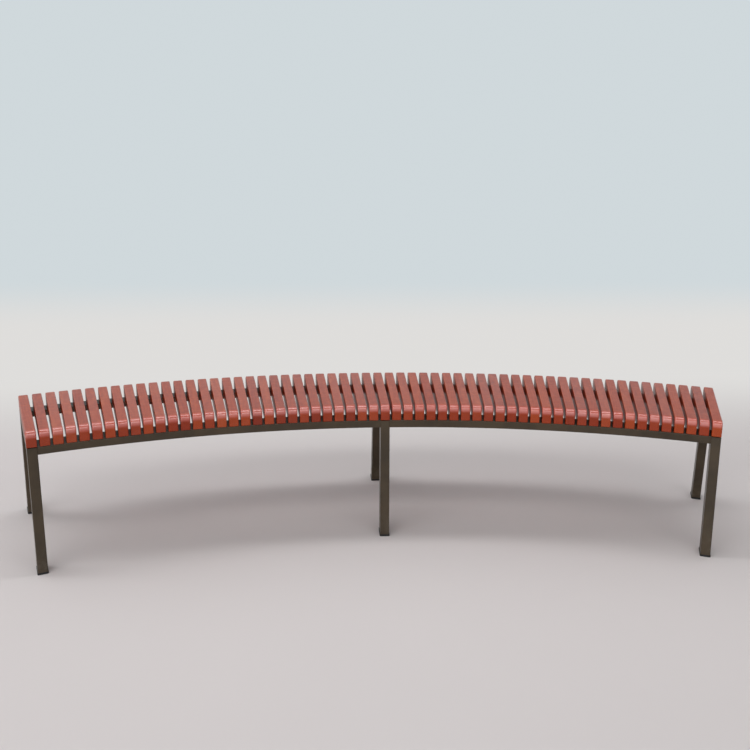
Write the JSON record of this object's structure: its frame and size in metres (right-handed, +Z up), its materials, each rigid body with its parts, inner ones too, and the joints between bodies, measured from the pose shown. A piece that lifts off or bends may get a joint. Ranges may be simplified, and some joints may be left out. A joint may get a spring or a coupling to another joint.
{
  "type": "curved bench",
  "caption": "Backless patio bench whose seat of upright wooden slats fans out along an arc on two curved steel rails and splayed tube legs.",
  "frame": {"origin": "on the ground under the middle of the bench's outline as seen from above", "axes": "+X along the bench, to the right as seen from its hollow side; +Y towards its rounded back, away from the arc's centre; +Z up"},
  "size_m": [2.457, 0.6916, 0.44],
  "materials": {
    "stained_wood": "red-brown stain under a satin varnish",
    "coated_steel": "dark bronze powder coat, satin",
    "glide_plastic": "moulded black, matt",
    "screw_steel": "plain stainless steel"
  },
  "bodies": {
    "root": {"slats_01": "stained_wood", "slats_02": "stained_wood", "slats_03": "stained_wood", "slats_04": "stained_wood", "slats_05": "stained_wood", "slats_06": "stained_wood", "slats_07": "stained_wood", "slats_08": "stained_wood", "slats_09": "stained_wood", "slats_10": "stained_wood", "slats_11": "stained_wood", "slats_12": "stained_wood", "slats_13": "stained_wood", "slats_14": "stained_wood", "slats_15": "stained_wood", "slats_16": "stained_wood", "slats_17": "stained_wood", "slats_18": "stained_wood", "slats_19": "stained_wood", "slats_20": "stained_wood", "slats_21": "stained_wood", "slats_22": "stained_wood", "slats_23": "stained_wood", "slats_24": "stained_wood", "slats_25": "stained_wood", "slats_26": "stained_wood", "slats_27": "stained_wood", "slats_28": "stained_wood", "slats_29": "stained_wood", "front_rail_left": "coated_steel", "front_rail_right": "coated_steel", "rear_rail_left": "coated_steel", "rear_rail_right": "coated_steel", "front_leg_left": "coated_steel", "front_leg_centre": "coated_steel", "front_leg_right": "coated_steel", "rear_leg_left": "coated_steel", "rear_leg_centre": "coated_steel", "rear_leg_right": "coated_steel", "cross_member_left": "coated_steel", "cross_member_centre": "coated_steel", "cross_member_right": "coated_steel", "front_glide_left": "glide_plastic", "front_glide_centre": "glide_plastic", "front_glide_right": "glide_plastic", "rear_glide_left": "glide_plastic", "rear_glide_centre": "glide_plastic", "rear_glide_right": "glide_plastic", "front_screws": "screw_steel", "rear_screws": "screw_steel", "cross_screws": "screw_steel"}
  },
  "joints": []
}
